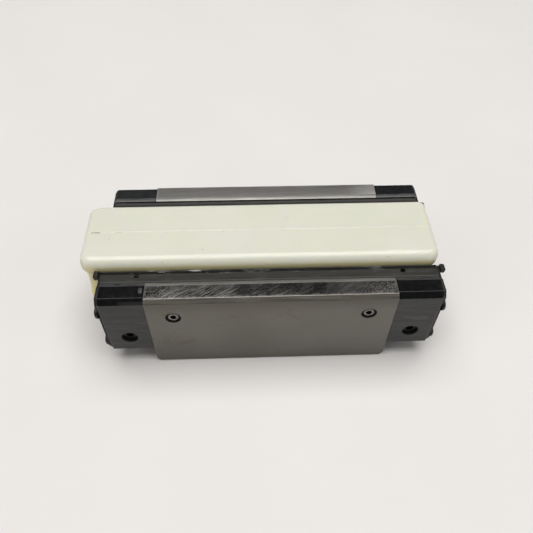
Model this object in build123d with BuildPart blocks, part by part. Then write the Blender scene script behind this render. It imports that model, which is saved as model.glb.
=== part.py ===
from build123d import *
import math
import os

# Linear guide carriage, size 45, narrow, long, high form, four ball circuits.
# Frame: millimetres, +X along the rail, +Z from the mounting face towards the
# rail, origin in the middle of the mounting face. The carriage lies on its
# mounting face, with the rail channel open upwards and the shipping rail in it.
# "near" is the -Y side, "far" the +Y side, "left" the -X end, "right" the +X end.

os.makedirs("parts", exist_ok=True)

# ---------------------------------------------------------------- dimensions
STEEL_L = 129.0            # length of the steel block
WIDTH = 86.0               # width over the steel block
HEIGHT = 56.2              # mounting face to skirt face
HX = STEEL_L / 2
HY = WIDTH / 2

SKIRT_CH_Y = 2.3           # outer chamfer of the skirt face, across
SKIRT_CH_Z = 1.9           # outer chamfer of the skirt face, down
SKIRT_IN_Y = 32.4          # inner edge of the skirt face
LAND_Y = 30.0              # inner edge of the shallow land beside the channel mouth
LAND_Z = 55.6
SHELF_Z = 51.8             # shelf that carries the upper ball retainer
SHELF_Y = 26.0
FLOOR_Z = 30.0             # channel floor

BALL_R = 3.175             # 1/4 inch balls
LOAD_Y = 21.3              # loaded ball rows, from the middle plane
LOAD_Z_UP = 49.0
LOAD_Z_LO = 38.0
GROOVE_R = 3.30            # raceway groove radius
RET_Y = 35.2               # return bores
RET_Z_UP = 49.9
RET_Z_LO = 33.8
TUBE_OR = 4.0
TUBE_IR = 3.45
BORE_R = 4.05
TURN_TUBE_R = 3.35         # ball channel in the end caps
GUIDE_HALF_W = 3.3         # half width of a return guide
N_BALLS = 45               # balls in one circuit

CAP_X = 87.4               # outer face of an end cap
CAP_Y = 42.5
CAP_Z0 = 12.4              # end caps stand clear of the mounting face
CAP_CH = 2.65
CAP_R = 1.2                # lower long edges of an end cap
PLATE_X = 88.1             # outer face of the end plate
SEAL_X = 89.0              # outer face of the end seal body
LIP_X = 91.8               # outer edge of the end seal lip
STRIP_Z = 53.1             # seat of the side seal strips

MOUNT_PX = 80.0            # mounting hole pitch along X
MOUNT_PY = 60.0            # mounting hole pitch along Y
MOUNT_R = 4.25             # M10 tapping bore
MOUNT_DEPTH = 17.0

SIDE_SCREW_X = 50.8        # M6 set screws in the steel side faces
SIDE_SCREW_Z = 42.3
SIDE_SCREW_R = 3.0
PORT_X = 76.2              # lubrication ports in the end cap side faces
PORT_Z = 24.3
PORT_R = 3.95
FRONT_PORT_Z = 20.5
FRONT_PORT_R = 3.46        # M8x1 tapping bore
FRONT_PORT_DEPTH = 9.0
PLUG_IN = 1.8              # plug face below the end cap side face

CAP_SCREWS = [(39.2, 44.0), (38.3, 17.8)]   # (y, z) of the end cap screws, far side
CAP_SCREW_R = 2.0
CAP_SCREW_HEAD_R = 3.5
CAP_SCREW_HEAD_H = 1.8
CAP_SCREW_END_X = 56.0

DUMMY_X0 = -99.3           # shipping rail, left and right ends
DUMMY_X1 = 89.4
DUMMY_TOP = 62.8
DUMMY_HALF = 21.9
DUMMY_R = 5.8
DUMMY_END_R = 4.2          # upper end edges of the shipping rail
DUMMY_WAIST = 17.4
DUMMY_BOT = 31.6
FLANK_UP = 32.685          # z - y along the upper flank of the shipping rail
MID_Z = 43.5               # middle height between the ball rows


# ---------------------------------------------------------------- ball circuit
def circuit(load_z, ret_z):
    """Middle, radius, radial and axial directions of one ball turn."""
    dy, dz = RET_Y - LOAD_Y, ret_z - load_z
    d = math.hypot(dy, dz)
    return {
        "m": ((LOAD_Y + RET_Y) / 2, (load_z + ret_z) / 2),
        "r": d / 2,
        "u": (dy / d, dz / d),
        "w": (-dz / d, dy / d),
    }


UP = circuit(LOAD_Z_UP, RET_Z_UP)
LO = circuit(LOAD_Z_LO, RET_Z_LO)
print("turn radii", round(UP["r"], 3), round(LO["r"], 3))


def turn_plane(c, side):
    """Plane of the end face of the block at one turn, local X radial."""
    return Plane(origin=(HX, side * c["m"][0], c["m"][1]),
                 x_dir=(0, side * c["u"][0], c["u"][1]), z_dir=(1, 0, 0))


def turn_axis(c, side):
    return Axis((HX, side * c["m"][0], c["m"][1]), (0, side * c["w"][0], c["w"][1]))


def guide_plane(c, side):
    """Plane square to the turn axis, local X along the rail."""
    return Plane(origin=(HX, side * c["m"][0], c["m"][1]),
                 x_dir=(1, 0, 0), z_dir=(0, side * c["w"][0], c["w"][1]))


def ball_centres(c, load_z, ret_z, side):
    """Centres of the balls round one closed circuit."""
    r = c["r"]
    total = 2 * STEEL_L + 2 * math.pi * r
    pts = []
    for i in range(N_BALLS):
        s = (i + 0.25) * total / N_BALLS
        if s < STEEL_L:
            pts.append((-HX + s, side * LOAD_Y, load_z))
        elif s < STEEL_L + math.pi * r:
            a = (s - STEEL_L) / r
            k = -math.cos(a) * r
            pts.append((HX + math.sin(a) * r, side * (c["m"][0] + k * c["u"][0]), c["m"][1] + k * c["u"][1]))
        elif s < 2 * STEEL_L + math.pi * r:
            pts.append((HX - (s - STEEL_L - math.pi * r), side * RET_Y, ret_z))
        else:
            a = (s - 2 * STEEL_L - math.pi * r) / r
            k = math.cos(a) * r
            pts.append((-HX - math.sin(a) * r, side * (c["m"][0] + k * c["u"][0]), c["m"][1] + k * c["u"][1]))
    return pts


# ---------------------------------------------------------------- steel block
off = (GROOVE_R - BALL_R - 0.025) / math.sqrt(2)
GUY, GUZ = LOAD_Y - off, LOAD_Z_UP + off       # upper groove centre
GLY, GLZ = LOAD_Y - off, LOAD_Z_LO - off       # lower groove centre
K = math.sqrt(0.5)

with BuildPart() as carriage_block:
    # cross-section: web, two legs, and a ridge on each leg between its two raceways
    with BuildSketch(Plane.YZ.offset(-HX)) as block_section:
        with BuildLine() as block_line:
            Polyline((0, 0), (HY - 1.0, 0), (HY, 1.0), (HY, HEIGHT - SKIRT_CH_Z),
                     (HY - SKIRT_CH_Y, HEIGHT), (SKIRT_IN_Y, HEIGHT), (LAND_Y, LAND_Z),
                     (LAND_Y, SHELF_Z), (SHELF_Y, SHELF_Z), (GUY + GROOVE_R, GUZ))
            ThreePointArc((GUY + GROOVE_R, GUZ), (GUY + GROOVE_R * K, GUZ - GROOVE_R * K), (GUY, GUZ - GROOVE_R))
            Polyline((GUY, GUZ - GROOVE_R), (20.2, MID_Z + 1.25), (20.2, MID_Z - 1.25), (GLY, GLZ + GROOVE_R))
            ThreePointArc((GLY, GLZ + GROOVE_R), (GLY + GROOVE_R * K, GLZ + GROOVE_R * K), (GLY + GROOVE_R, GLZ))
            Polyline((GLY + GROOVE_R, GLZ), (SHELF_Y, 35.2), (SHELF_Y, FLOOR_Z), (0, FLOOR_Z), (0, 0))
        make_face()
        mirror(about=Plane.YZ)
    extrude(amount=STEEL_L)
    # ends of the mounting face are relieved
    with BuildSketch(Plane.XZ) as relief_section:
        with BuildLine() as relief_line:
            Polyline((HX + 1, -1), (HX + 1, 4.6), (HX, 4.6))
            ThreePointArc((HX, 4.6), (HX - 0.9, 1.9), (HX - 3.0, 0))
            Polyline((HX - 3.0, 0), (HX - 3.0, -1), (HX + 1, -1))
        make_face()
        mirror(about=Plane.YZ)
    extrude(amount=HY + 1, both=True, mode=Mode.SUBTRACT)
    # return bores
    with BuildSketch(Plane.YZ.offset(-HX)) as bore_section:
        with Locations((RET_Y, RET_Z_UP), (-RET_Y, RET_Z_UP), (RET_Y, RET_Z_LO), (-RET_Y, RET_Z_LO)):
            Circle(BORE_R)
    extrude(amount=STEEL_L, mode=Mode.SUBTRACT)
    # blind tapped mounting holes with countersunk mouths
    with BuildSketch(Plane.XY) as mount_holes:
        with GridLocations(MOUNT_PX, MOUNT_PY, 2, 2):
            Circle(MOUNT_R)
    extrude(amount=MOUNT_DEPTH, mode=Mode.SUBTRACT)
    with BuildSketch(Plane.XY) as mount_mouths:
        with GridLocations(MOUNT_PX, MOUNT_PY, 2, 2):
            Circle(MOUNT_R + 0.45)
    extrude(amount=0.45, taper=45, mode=Mode.SUBTRACT)
    # tapped holes for the set screws in both side faces
    with BuildSketch(Plane.XZ.offset(HY)) as near_holes:
        with Locations((-SIDE_SCREW_X, SIDE_SCREW_Z), (SIDE_SCREW_X, SIDE_SCREW_Z)):
            Circle(SIDE_SCREW_R)
    extrude(amount=-5.6, mode=Mode.SUBTRACT)
    with BuildSketch(Plane.XZ.offset(HY)) as near_mouths:
        with Locations((-SIDE_SCREW_X, SIDE_SCREW_Z), (SIDE_SCREW_X, SIDE_SCREW_Z)):
            Circle(4.1)
    extrude(amount=-1.1, taper=45, mode=Mode.SUBTRACT)
    with BuildSketch(Plane.XZ.offset(-HY)) as far_holes:
        with Locations((-SIDE_SCREW_X, SIDE_SCREW_Z), (SIDE_SCREW_X, SIDE_SCREW_Z)):
            Circle(SIDE_SCREW_R)
    extrude(amount=5.6, mode=Mode.SUBTRACT)
    with BuildSketch(Plane.XZ.offset(-HY)) as far_mouths:
        with Locations((-SIDE_SCREW_X, SIDE_SCREW_Z), (SIDE_SCREW_X, SIDE_SCREW_Z)):
            Circle(4.1)
    extrude(amount=1.1, taper=45, mode=Mode.SUBTRACT)
    # tapped holes for the end cap screws in both end faces
    with BuildSketch(Plane.YZ.offset(-HX)) as screw_holes:
        with Locations(*[(s * y, z) for (y, z) in CAP_SCREWS for s in (-1, 1)]):
            Circle(CAP_SCREW_R + 0.05)
    extrude(amount=HX - CAP_SCREW_END_X + 0.8, mode=Mode.SUBTRACT)
    with BuildSketch(Plane.YZ.offset(HX)) as screw_holes_right:
        with Locations(*[(s * y, z) for (y, z) in CAP_SCREWS for s in (-1, 1)]):
            Circle(CAP_SCREW_R + 0.05)
    extrude(amount=-(HX - CAP_SCREW_END_X + 0.8), mode=Mode.SUBTRACT)
carriage_block.part.label = "carriage_block"
export_step(carriage_block.part, "parts/carriage_block.step")

# ---------------------------------------------------------------- set screws in the side faces
with BuildPart() as side_screws_near:
    with BuildSketch(Plane.XZ.offset(HY - 0.5)) as side_screw_section:
        with Locations((-SIDE_SCREW_X, SIDE_SCREW_Z), (SIDE_SCREW_X, SIDE_SCREW_Z)):
            Circle(SIDE_SCREW_R - 0.05)
    extrude(amount=-4.9)
    with BuildSketch(Plane.XZ.offset(HY - 0.5)) as side_screw_hex:
        with Locations((-SIDE_SCREW_X, SIDE_SCREW_Z), (SIDE_SCREW_X, SIDE_SCREW_Z)):
            RegularPolygon(radius=1.7, side_count=6)
    extrude(amount=-2.4, mode=Mode.SUBTRACT)
    chamfer(side_screws_near.edges().filter_by(GeomType.CIRCLE).group_by(Axis.Y)[0], length=0.35)
side_screws_near.part.label = "side_screws_near"
export_step(side_screws_near.part, "parts/side_screws_near.step")

with BuildPart() as side_screws_far:
    mirror(side_screws_near.part, about=Plane.XZ)
side_screws_far.part.label = "side_screws_far"
export_step(side_screws_far.part, "parts/side_screws_far.step")

# ---------------------------------------------------------------- return tubes
with BuildPart() as return_tube_upper_far:
    with BuildSketch(Plane.YZ.offset(-HX)) as tube_section_up:
        with Locations((RET_Y, RET_Z_UP)):
            Circle(TUBE_OR)
            Circle(TUBE_IR, mode=Mode.SUBTRACT)
    extrude(amount=STEEL_L)
return_tube_upper_far.part.label = "return_tube_upper_far"
export_step(return_tube_upper_far.part, "parts/return_tube_upper_far.step")

with BuildPart() as return_tube_lower_far:
    with BuildSketch(Plane.YZ.offset(-HX)) as tube_section_lo:
        with Locations((RET_Y, RET_Z_LO)):
            Circle(TUBE_OR)
            Circle(TUBE_IR, mode=Mode.SUBTRACT)
    extrude(amount=STEEL_L)
return_tube_lower_far.part.label = "return_tube_lower_far"
export_step(return_tube_lower_far.part, "parts/return_tube_lower_far.step")

with BuildPart() as return_tube_upper_near:
    mirror(return_tube_upper_far.part, about=Plane.XZ)
return_tube_upper_near.part.label = "return_tube_upper_near"
export_step(return_tube_upper_near.part, "parts/return_tube_upper_near.step")

with BuildPart() as return_tube_lower_near:
    mirror(return_tube_lower_far.part, about=Plane.XZ)
return_tube_lower_near.part.label = "return_tube_lower_near"
export_step(return_tube_lower_near.part, "parts/return_tube_lower_near.step")

# ---------------------------------------------------------------- ball sets, one closed circuit each
with BuildPart() as balls_upper_far:
    with Locations(*ball_centres(UP, LOAD_Z_UP, RET_Z_UP, 1)):
        Sphere(BALL_R)
balls_upper_far.part.label = "balls_upper_far"
export_step(balls_upper_far.part, "parts/balls_upper_far.step")

with BuildPart() as balls_upper_near:
    with Locations(*ball_centres(UP, LOAD_Z_UP, RET_Z_UP, -1)):
        Sphere(BALL_R)
balls_upper_near.part.label = "balls_upper_near"
export_step(balls_upper_near.part, "parts/balls_upper_near.step")

with BuildPart() as balls_lower_far:
    with Locations(*ball_centres(LO, LOAD_Z_LO, RET_Z_LO, 1)):
        Sphere(BALL_R)
balls_lower_far.part.label = "balls_lower_far"
export_step(balls_lower_far.part, "parts/balls_lower_far.step")

with BuildPart() as balls_lower_near:
    with Locations(*ball_centres(LO, LOAD_Z_LO, RET_Z_LO, -1)):
        Sphere(BALL_R)
balls_lower_near.part.label = "balls_lower_near"
export_step(balls_lower_near.part, "parts/balls_lower_near.step")

# ---------------------------------------------------------------- ball retainers
# upper retainer: a flat strip on the shelf, its thin edge keeps the upper row in
with BuildPart() as retainer_upper_far:
    with BuildSketch(Plane.YZ.offset(-HX)) as retainer_up_section:
        with BuildLine() as retainer_up_line:
            Polyline((20.6, 52.4), (24.2, 52.4), (25.4, SHELF_Z), (LAND_Y, SHELF_Z), (LAND_Y, STRIP_Z),
                     (20.95, STRIP_Z), (20.6, 52.75), (20.6, 52.4))
        make_face()
    extrude(amount=STEEL_L)
retainer_upper_far.part.label = "retainer_upper_far"
export_step(retainer_upper_far.part, "parts/retainer_upper_far.step")

with BuildPart() as retainer_upper_near:
    mirror(retainer_upper_far.part, about=Plane.XZ)
retainer_upper_near.part.label = "retainer_upper_near"
export_step(retainer_upper_near.part, "parts/retainer_upper_near.step")

# middle retainer: lies against the ridge between the two rows of one side
with BuildPart() as retainer_middle_far:
    with BuildSketch(Plane.YZ.offset(-HX)) as retainer_mid_section:
        with BuildLine() as retainer_mid_line:
            Polyline((20.2, MID_Z + 1.2), (18.9, MID_Z + 2.9), (17.9, MID_Z + 3.8), (17.9, MID_Z - 3.8),
                     (18.9, MID_Z - 2.9), (20.2, MID_Z - 1.2), (20.2, MID_Z + 1.2))
        make_face()
    extrude(amount=STEEL_L)
retainer_middle_far.part.label = "retainer_middle_far"
export_step(retainer_middle_far.part, "parts/retainer_middle_far.step")

with BuildPart() as retainer_middle_near:
    mirror(retainer_middle_far.part, about=Plane.XZ)
retainer_middle_near.part.label = "retainer_middle_near"
export_step(retainer_middle_near.part, "parts/retainer_middle_near.step")

# floor retainer: a tray on the channel floor, its two edges keep the lower rows in
with BuildPart() as retainer_floor:
    with BuildSketch(Plane.YZ.offset(-HX)) as retainer_floor_section:
        with BuildLine() as retainer_floor_line:
            Polyline((0, FLOOR_Z), (25.9, FLOOR_Z), (25.9, 35.0), (24.6, 35.0), (22.8, 34.5), (20.6, 34.5),
                     (20.6, 34.15), (22.4, 32.35), (22.4, 31.1), (0, 31.1), (0, FLOOR_Z))
        make_face()
        mirror(about=Plane.YZ)
    extrude(amount=STEEL_L)
retainer_floor.part.label = "retainer_floor"
export_step(retainer_floor.part, "parts/retainer_floor.step")

# ---------------------------------------------------------------- return guides, the inner half of each ball turn
with BuildPart() as return_guide_upper_far_right:
    with BuildSketch(guide_plane(UP, 1)) as guide_up_section:
        Circle(UP["r"] - 1.6)
        with Locations((UP["r"] / 2, 0)):
            Rectangle(UP["r"], 2 * UP["r"], mode=Mode.INTERSECT)
    extrude(amount=GUIDE_HALF_W, both=True)
    with BuildSketch(turn_plane(UP, 1)) as guide_up_groove:
        with Locations((UP["r"], 0)):
            Circle(TURN_TUBE_R)
    revolve(axis=turn_axis(UP, 1), revolution_arc=360, mode=Mode.SUBTRACT)
return_guide_upper_far_right.part.label = "return_guide_upper_far_right"
export_step(return_guide_upper_far_right.part, "parts/return_guide_upper_far_right.step")

with BuildPart() as return_guide_lower_far_right:
    with BuildSketch(guide_plane(LO, 1)) as guide_lo_section:
        Circle(LO["r"] - 1.6)
        with Locations((LO["r"] / 2, 0)):
            Rectangle(LO["r"], 2 * LO["r"], mode=Mode.INTERSECT)
    extrude(amount=GUIDE_HALF_W, both=True)
    with BuildSketch(turn_plane(LO, 1)) as guide_lo_groove:
        with Locations((LO["r"], 0)):
            Circle(TURN_TUBE_R)
    revolve(axis=turn_axis(LO, 1), revolution_arc=360, mode=Mode.SUBTRACT)
return_guide_lower_far_right.part.label = "return_guide_lower_far_right"
export_step(return_guide_lower_far_right.part, "parts/return_guide_lower_far_right.step")

with BuildPart() as return_guide_upper_near_right:
    mirror(return_guide_upper_far_right.part, about=Plane.XZ)
return_guide_upper_near_right.part.label = "return_guide_upper_near_right"
export_step(return_guide_upper_near_right.part, "parts/return_guide_upper_near_right.step")

with BuildPart() as return_guide_lower_near_right:
    mirror(return_guide_lower_far_right.part, about=Plane.XZ)
return_guide_lower_near_right.part.label = "return_guide_lower_near_right"
export_step(return_guide_lower_near_right.part, "parts/return_guide_lower_near_right.step")

with BuildPart() as return_guide_upper_far_left:
    mirror(return_guide_upper_far_right.part, about=Plane.YZ)
return_guide_upper_far_left.part.label = "return_guide_upper_far_left"
export_step(return_guide_upper_far_left.part, "parts/return_guide_upper_far_left.step")

with BuildPart() as return_guide_lower_far_left:
    mirror(return_guide_lower_far_right.part, about=Plane.YZ)
return_guide_lower_far_left.part.label = "return_guide_lower_far_left"
export_step(return_guide_lower_far_left.part, "parts/return_guide_lower_far_left.step")

with BuildPart() as return_guide_upper_near_left:
    mirror(return_guide_upper_near_right.part, about=Plane.YZ)
return_guide_upper_near_left.part.label = "return_guide_upper_near_left"
export_step(return_guide_upper_near_left.part, "parts/return_guide_upper_near_left.step")

with BuildPart() as return_guide_lower_near_left:
    mirror(return_guide_lower_near_right.part, about=Plane.YZ)
return_guide_lower_near_left.part.label = "return_guide_lower_near_left"
export_step(return_guide_lower_near_left.part, "parts/return_guide_lower_near_left.step")

# ---------------------------------------------------------------- end caps
CAP_FLANK = FLANK_UP - 0.85
with BuildPart() as end_cap_right:
    with BuildSketch(Plane.YZ.offset(HX)) as cap_section:
        with BuildLine() as cap_line:
            Polyline((0, CAP_Z0), (CAP_Y - CAP_R, CAP_Z0))
            ThreePointArc((CAP_Y - CAP_R, CAP_Z0), (CAP_Y - CAP_R + CAP_R * K, CAP_Z0 + CAP_R - CAP_R * K), (CAP_Y, CAP_Z0 + CAP_R))
            Polyline((CAP_Y, CAP_Z0 + CAP_R), (CAP_Y, HEIGHT - CAP_CH), (CAP_Y - CAP_CH, HEIGHT), (SKIRT_IN_Y, HEIGHT),
                     (LAND_Y, LAND_Z), (LAND_Y, STRIP_Z), (STRIP_Z - CAP_FLANK, STRIP_Z), (18.0, 18.0 + CAP_FLANK),
                     (18.0, 2 * MID_Z - 18.0 - CAP_FLANK), (22.5, 2 * MID_Z - 22.5 - CAP_FLANK), (22.5, 31.0), (0, 31.0),
                     (0, CAP_Z0))
        make_face()
        mirror(about=Plane.YZ)
    extrude(amount=CAP_X - HX)
    fillet(end_cap_right.edges().filter_by(Axis.Z).filter_by(
        lambda e: abs(e.center().Y) > CAP_Y - 0.1 and e.center().X > CAP_X - 0.1), radius=0.8)
    # ball turns: a half ring channel, and a pocket that seats its return guide
    with BuildSketch(turn_plane(UP, 1)) as cap_turn_1:
        with Locations((UP["r"], 0)):
            Circle(TURN_TUBE_R)
    revolve(axis=turn_axis(UP, 1), revolution_arc=360, mode=Mode.SUBTRACT)
    with BuildSketch(turn_plane(UP, -1)) as cap_turn_2:
        with Locations((UP["r"], 0)):
            Circle(TURN_TUBE_R)
    revolve(axis=turn_axis(UP, -1), revolution_arc=360, mode=Mode.SUBTRACT)
    with BuildSketch(turn_plane(LO, 1)) as cap_turn_3:
        with Locations((LO["r"], 0)):
            Circle(TURN_TUBE_R)
    revolve(axis=turn_axis(LO, 1), revolution_arc=360, mode=Mode.SUBTRACT)
    with BuildSketch(turn_plane(LO, -1)) as cap_turn_4:
        with Locations((LO["r"], 0)):
            Circle(TURN_TUBE_R)
    revolve(axis=turn_axis(LO, -1), revolution_arc=360, mode=Mode.SUBTRACT)
    with BuildSketch(guide_plane(UP, 1)) as cap_pocket_1:
        Circle(UP["r"] - 1.55)
    extrude(amount=GUIDE_HALF_W + 0.05, both=True, mode=Mode.SUBTRACT)
    with BuildSketch(guide_plane(UP, -1)) as cap_pocket_2:
        Circle(UP["r"] - 1.55)
    extrude(amount=GUIDE_HALF_W + 0.05, both=True, mode=Mode.SUBTRACT)
    with BuildSketch(guide_plane(LO, 1)) as cap_pocket_3:
        Circle(LO["r"] - 1.55)
    extrude(amount=GUIDE_HALF_W + 0.05, both=True, mode=Mode.SUBTRACT)
    with BuildSketch(guide_plane(LO, -1)) as cap_pocket_4:
        Circle(LO["r"] - 1.55)
    extrude(amount=GUIDE_HALF_W + 0.05, both=True, mode=Mode.SUBTRACT)
    # clearance holes for the cap screws
    with BuildSketch(Plane.YZ.offset(HX)) as cap_screw_holes:
        with Locations(*[(s * y, z) for (y, z) in CAP_SCREWS for s in (-1, 1)]):
            Circle(CAP_SCREW_R + 0.2)
    extrude(amount=CAP_X - HX, mode=Mode.SUBTRACT)
    # lubrication ports: one in each side face, one in the end face, joined to the gasket recess
    with BuildSketch(Plane.XZ.offset(CAP_Y)) as near_port:
        with Locations((PORT_X, PORT_Z)):
            Circle(PORT_R)
    extrude(amount=-8.0, mode=Mode.SUBTRACT)
    with BuildSketch(Plane.XZ.offset(-CAP_Y)) as far_port:
        with Locations((PORT_X, PORT_Z)):
            Circle(PORT_R)
    extrude(amount=8.0, mode=Mode.SUBTRACT)
    with BuildSketch(Plane.YZ.offset(CAP_X)) as front_port:
        with Locations((0, FRONT_PORT_Z)):
            Circle(FRONT_PORT_R)
    extrude(amount=-FRONT_PORT_DEPTH, mode=Mode.SUBTRACT)
    with BuildSketch(Plane.YZ.offset(CAP_X)) as lube_duct:
        with Locations((0, FRONT_PORT_Z)):
            Circle(1.2)
    extrude(amount=-(CAP_X - HX), mode=Mode.SUBTRACT)
    with BuildSketch(Plane.YZ.offset(HX)) as gasket_recess:
        with Locations((0, 21.0)):
            RectangleRounded(44.0, 12.0, 3.0)
    extrude(amount=1.2, mode=Mode.SUBTRACT)
end_cap_right.part.label = "end_cap_right"
export_step(end_cap_right.part, "parts/end_cap_right.step")

with BuildPart() as end_cap_left:
    mirror(end_cap_right.part, about=Plane.YZ)
end_cap_left.part.label = "end_cap_left"
export_step(end_cap_left.part, "parts/end_cap_left.step")

# ---------------------------------------------------------------- lubrication gaskets between cap and block
with BuildPart() as lube_gasket_right:
    with BuildSketch(Plane.YZ.offset(HX)) as gasket_section:
        with Locations((0, 21.0)):
            RectangleRounded(43.8, 11.8, 2.9)
        with Locations((-14.0, 21.0), (0, FRONT_PORT_Z), (14.0, 21.0)):
            Circle(1.4, mode=Mode.SUBTRACT)
    extrude(amount=1.15)
lube_gasket_right.part.label = "lube_gasket_right"
export_step(lube_gasket_right.part, "parts/lube_gasket_right.step")

with BuildPart() as lube_gasket_left:
    mirror(lube_gasket_right.part, about=Plane.YZ)
lube_gasket_left.part.label = "lube_gasket_left"
export_step(lube_gasket_left.part, "parts/lube_gasket_left.step")

# ---------------------------------------------------------------- plugs in the side ports
with BuildPart() as port_plugs_right:
    with BuildSketch(Plane.XZ.offset(CAP_Y - PLUG_IN)) as plug_near:
        with Locations((PORT_X, PORT_Z)):
            Circle(PORT_R - 0.05)
    extrude(amount=-5.0)
    with BuildSketch(Plane.XZ.offset(CAP_Y - PLUG_IN)) as plug_near_hex:
        with Locations((PORT_X, PORT_Z)):
            RegularPolygon(radius=2.3, side_count=6)
    extrude(amount=-3.2, mode=Mode.SUBTRACT)
    with BuildSketch(Plane.XZ.offset(-(CAP_Y - PLUG_IN))) as plug_far:
        with Locations((PORT_X, PORT_Z)):
            Circle(PORT_R - 0.05)
    extrude(amount=5.0)
    with BuildSketch(Plane.XZ.offset(-(CAP_Y - PLUG_IN))) as plug_far_hex:
        with Locations((PORT_X, PORT_Z)):
            RegularPolygon(radius=2.3, side_count=6)
    extrude(amount=3.2, mode=Mode.SUBTRACT)
port_plugs_right.part.label = "port_plugs_right"
export_step(port_plugs_right.part, "parts/port_plugs_right.step")

with BuildPart() as port_plugs_left:
    mirror(port_plugs_right.part, about=Plane.YZ)
port_plugs_left.part.label = "port_plugs_left"
export_step(port_plugs_left.part, "parts/port_plugs_left.step")

# ---------------------------------------------------------------- end plates, thin steel behind the seals
PLATE_FLANK = FLANK_UP - 1.1
with BuildPart() as end_plate_right:
    with BuildSketch(Plane.YZ.offset(CAP_X)) as plate_section:
        with BuildLine() as plate_line:
            Polyline((0, CAP_Z0 + 0.3), (CAP_Y - 2.2, CAP_Z0 + 0.3), (CAP_Y - 0.6, CAP_Z0 + 1.9), (CAP_Y - 0.6, HEIGHT - 2.8),
                     (CAP_Y - 3.1, HEIGHT - 0.3), (SKIRT_IN_Y - 0.2, HEIGHT - 0.3), (LAND_Y, 55.1),
                     (LAND_Y, 54.6), (22.5, 54.6), (22.5, 22.5 + PLATE_FLANK), (18.3, 18.3 + PLATE_FLANK),
                     (18.3, 2 * MID_Z - 18.3 - PLATE_FLANK), (22.8, 2 * MID_Z - 22.8 - PLATE_FLANK), (22.8, 30.6), (0, 30.6),
                     (0, CAP_Z0 + 0.3))
        make_face()
        mirror(about=Plane.YZ)
        with Locations(*[(s * y, z) for (y, z) in CAP_SCREWS for s in (-1, 1)]):
            Circle(CAP_SCREW_R + 0.2, mode=Mode.SUBTRACT)
        with Locations((0, FRONT_PORT_Z)):
            Circle(4.6, mode=Mode.SUBTRACT)
    extrude(amount=PLATE_X - CAP_X)
end_plate_right.part.label = "end_plate_right"
export_step(end_plate_right.part, "parts/end_plate_right.step")

with BuildPart() as end_plate_left:
    mirror(end_plate_right.part, about=Plane.YZ)
end_plate_left.part.label = "end_plate_left"
export_step(end_plate_left.part, "parts/end_plate_left.step")

# ---------------------------------------------------------------- end seals, moulded rubber with a lip round the rail
LIP_FLANK = FLANK_UP - 0.57
with BuildPart() as end_seal_right:
    with BuildSketch(Plane.YZ.offset(PLATE_X)) as seal_section:
        with BuildLine() as seal_line:
            Polyline((0, CAP_Z0 + 0.6), (CAP_Y - 2.6, CAP_Z0 + 0.6), (CAP_Y - 0.9, CAP_Z0 + 2.3), (CAP_Y - 0.9, HEIGHT - 2.9),
                     (CAP_Y - 3.3, HEIGHT - 0.5), (SKIRT_IN_Y - 0.4, HEIGHT - 0.5), (LAND_Y + 0.2, 54.8),
                     (22.3, 54.8), (22.3, 22.3 + LIP_FLANK), (17.8, 17.8 + LIP_FLANK),
                     (17.8, 2 * MID_Z - 17.8 - LIP_FLANK), (22.3, 2 * MID_Z - 22.3 - LIP_FLANK), (22.3, 31.2), (0, 31.2),
                     (0, CAP_Z0 + 0.6))
        make_face()
        mirror(about=Plane.YZ)
        with Locations(*[(s * y, z) for (y, z) in CAP_SCREWS for s in (-1, 1)]):
            Circle(CAP_SCREW_R + 0.2, mode=Mode.SUBTRACT)
        with Locations((0, FRONT_PORT_Z)):
            Circle(4.9, mode=Mode.SUBTRACT)
    extrude(amount=SEAL_X - PLATE_X)
    with BuildSketch(Plane.YZ.offset(SEAL_X)) as lip_section:
        with BuildLine() as lip_line:
            Polyline((0, 31.2), (22.3, 31.2), (22.3, 2 * MID_Z - 22.3 - LIP_FLANK), (17.8, 2 * MID_Z - 17.8 - LIP_FLANK),
                     (17.8, 17.8 + LIP_FLANK), (22.3, 22.3 + LIP_FLANK), (22.3, HEIGHT + 0.5), (26.5, HEIGHT + 0.5),
                     (26.5, 54.2), (21.2, 48.9), (21.2, 38.1), (25.6, 33.7), (25.6, 28.2), (0, 28.2), (0, 31.2))
        make_face()
        mirror(about=Plane.YZ)
    extrude(amount=LIP_X - SEAL_X)
    # the lip leans back from the rail on its outer side
    chamfer(end_seal_right.faces().sort_by(Axis.X)[-1].edges().filter_by(
        lambda e: abs(e.center().Y) > 24.5 or abs(e.center().Z - 28.2) < 0.2 or (20.9 < abs(e.center().Y) < 21.5 and 40 < e.center().Z < 47)
        or (23.0 < abs(e.center().Y) < 24.5)), length=0.8)
end_seal_right.part.label = "end_seal_right"
export_step(end_seal_right.part, "parts/end_seal_right.step")

with BuildPart() as end_seal_left:
    mirror(end_seal_right.part, about=Plane.YZ)
end_seal_left.part.label = "end_seal_left"
export_step(end_seal_left.part, "parts/end_seal_left.step")

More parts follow.
